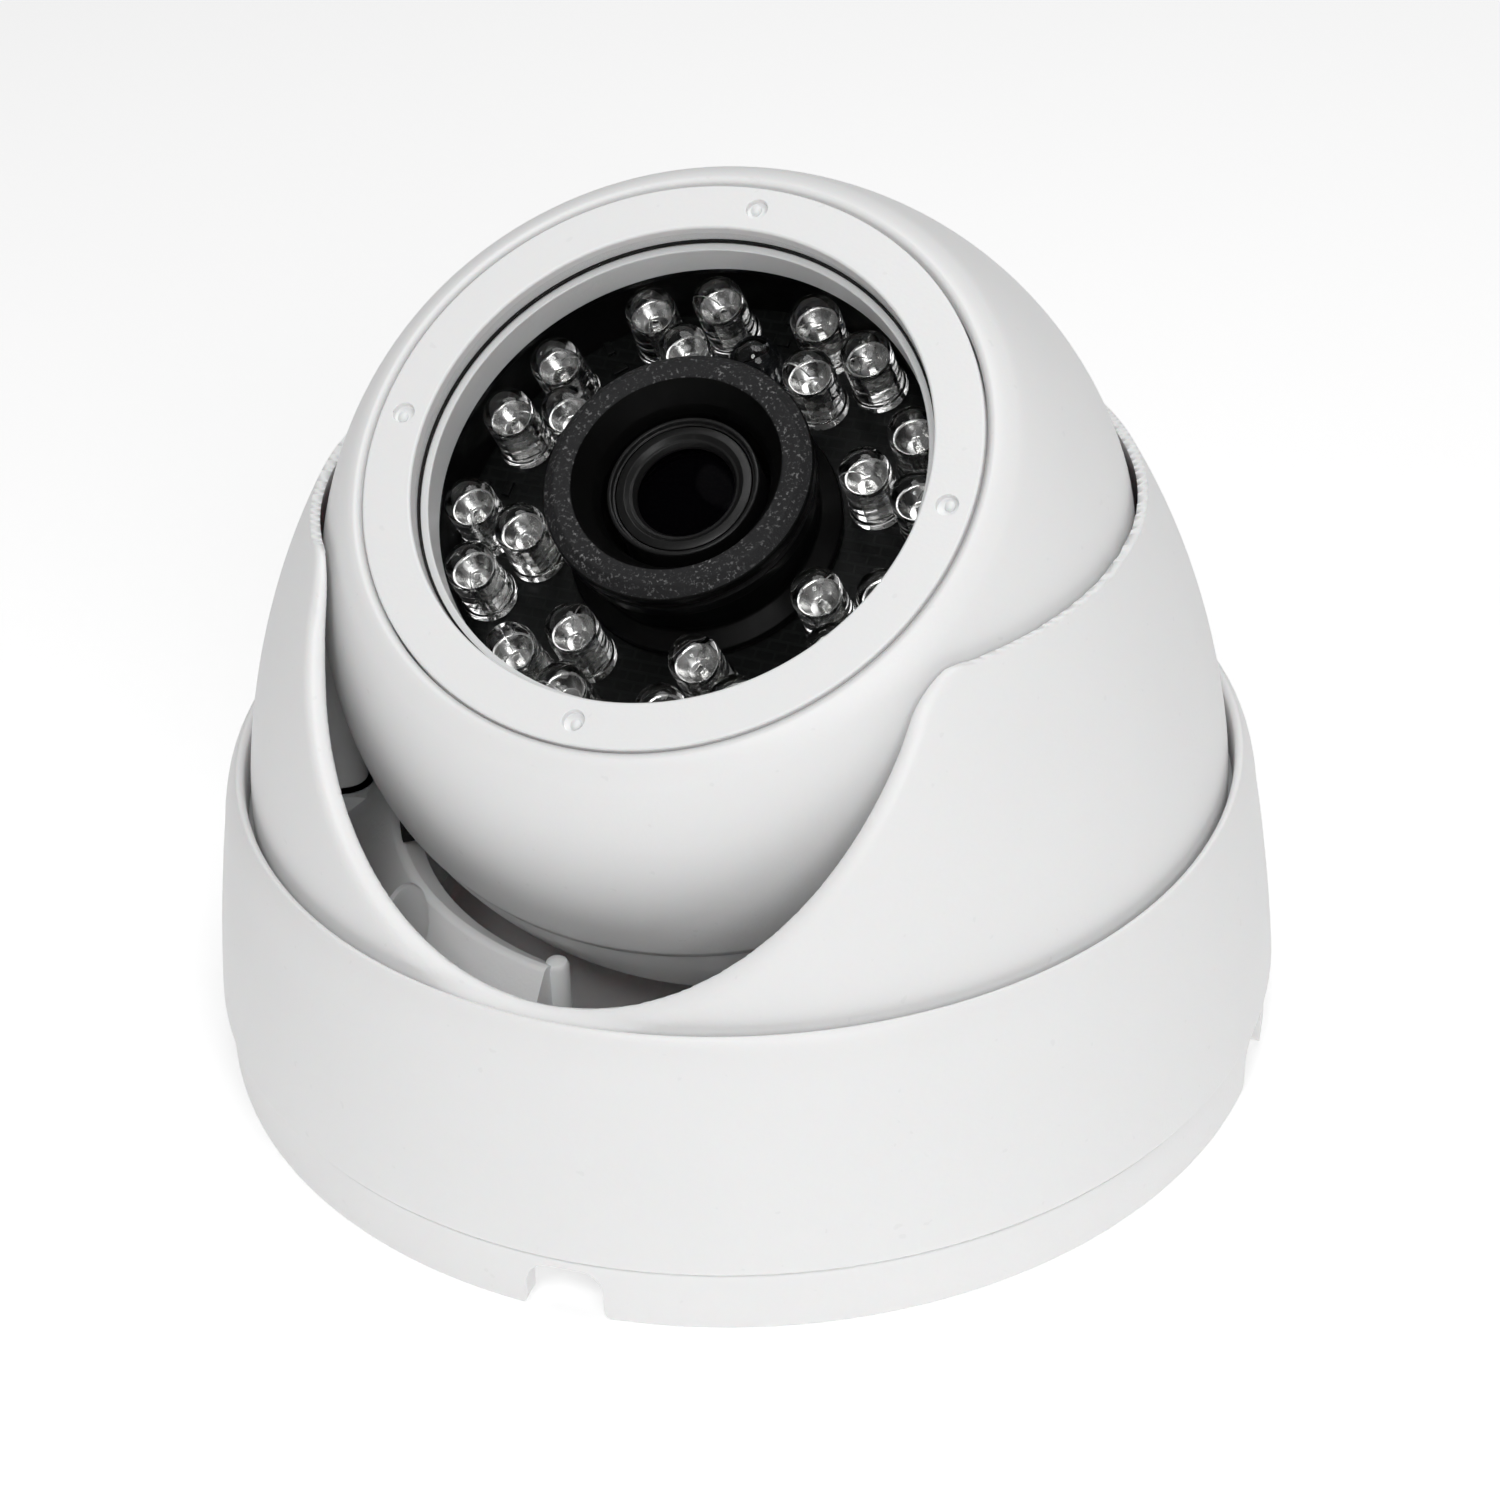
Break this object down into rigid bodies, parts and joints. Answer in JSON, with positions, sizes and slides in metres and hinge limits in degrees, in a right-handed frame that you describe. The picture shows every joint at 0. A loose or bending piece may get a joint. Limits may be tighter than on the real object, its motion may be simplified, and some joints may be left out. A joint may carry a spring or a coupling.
{
  "type": "security camera",
  "caption": "Turret security camera: round base with a rolled rim, turning collar with a round front cut-out, and a ball head with a windowed lens and a ring of infrared lamps.",
  "frame": {"origin": "middle of the base's underside, the face that goes against the wall or ceiling", "axes": "+Z out of the mounting surface, along the turning axis of the collar; -Y is the side that the head faces; +X to the right seen from the front"},
  "size_m": [0.1086, 0.1086, 0.0864],
  "materials": {
    "white_shell": "satin moulded ABS",
    "white_inner": "moulded ABS",
    "black_rubber": "matte rubber",
    "steel": "zinc-plated screw",
    "window_glass": "clear flat glass",
    "circuit_board": "black solder mask",
    "black_plastic": "black moulded plastic",
    "lamp_epoxy": "clear epoxy dome",
    "sensor_epoxy": "smoked clear epoxy",
    "hood_foam": "grainy black rubber",
    "lens_metal": "black anodised",
    "lens_glass": "coated lens",
    "brass": "turned",
    "chip": "image sensor package"
  },
  "bodies": {
    "base": {"base_plate": "white_shell", "base_cover": "white_shell", "cable_grommet": "black_rubber"},
    "turret": {"turret": "white_shell", "ball_ring": "white_inner", "ring_screw_1": "steel", "ring_screw_2": "steel", "ring_screw_3": "steel", "friction_pad_1": "black_rubber", "friction_pad_2": "black_rubber", "friction_pad_3": "black_rubber"},
    "tail": {"tail_boot": "black_rubber"},
    "head": {"front_shell": "white_shell", "rear_shell": "white_shell", "head_seal": "black_rubber", "head_screw_1": "steel", "head_screw_2": "steel", "head_screw_3": "steel", "bezel_ring": "white_shell", "window_gasket": "black_rubber", "window_glass": "window_glass", "lamp_board": "circuit_board", "lamp_shroud": "black_plastic", "infrared_lamp_01": "lamp_epoxy", "infrared_lamp_02": "lamp_epoxy", "infrared_lamp_03": "lamp_epoxy", "infrared_lamp_04": "lamp_epoxy", "infrared_lamp_05": "lamp_epoxy", "infrared_lamp_06": "lamp_epoxy", "infrared_lamp_07": "lamp_epoxy", "infrared_lamp_08": "lamp_epoxy", "infrared_lamp_09": "lamp_epoxy", "infrared_lamp_10": "lamp_epoxy", "infrared_lamp_11": "lamp_epoxy", "infrared_lamp_12": "lamp_epoxy", "infrared_lamp_13": "lamp_epoxy", "infrared_lamp_14": "lamp_epoxy", "infrared_lamp_15": "lamp_epoxy", "infrared_lamp_16": "lamp_epoxy", "infrared_lamp_17": "lamp_epoxy", "infrared_lamp_18": "lamp_epoxy", "infrared_lamp_19": "lamp_epoxy", "infrared_lamp_20": "lamp_epoxy", "infrared_lamp_21": "lamp_epoxy", "infrared_lamp_22": "lamp_epoxy", "infrared_lamp_23": "lamp_epoxy", "infrared_lamp_24": "lamp_epoxy", "light_sensor": "sensor_epoxy", "lens_hood": "hood_foam", "lens_lock_ring": "brass", "lens_holder": "black_plastic", "image_board": "circuit_board", "image_sensor": "chip", "board_spacer_1": "brass", "board_spacer_2": "brass"},
    "lens": {"lens_barrel": "lens_metal", "lens_retainer": "lens_metal", "lens_front_element": "lens_glass"}
  },
  "joints": [
    {"name": "pan", "type": "hinge", "parent": "base", "child": "turret", "pos_m": [0, 0, 0.03], "axis": [0, 0, 1], "range_deg": [-177.5, 177.5]},
    {"name": "tilt", "type": "hinge", "parent": "turret", "child": "tail", "pos_m": [0, 0, 0.049], "axis": [1, 0, 0], "range_deg": [-33, 41]},
    {"name": "roll", "type": "hinge", "parent": "tail", "child": "head", "pos_m": [0, 0, 0.049], "axis": [0, -0.549, 0.8358], "range_deg": [-175, 175]},
    {"name": "focus", "type": "hinge", "parent": "head", "child": "lens", "pos_m": [0, 0, 0.049], "axis": [0, -0.549, 0.8358], "range_deg": [-180, 180]}
  ]
}
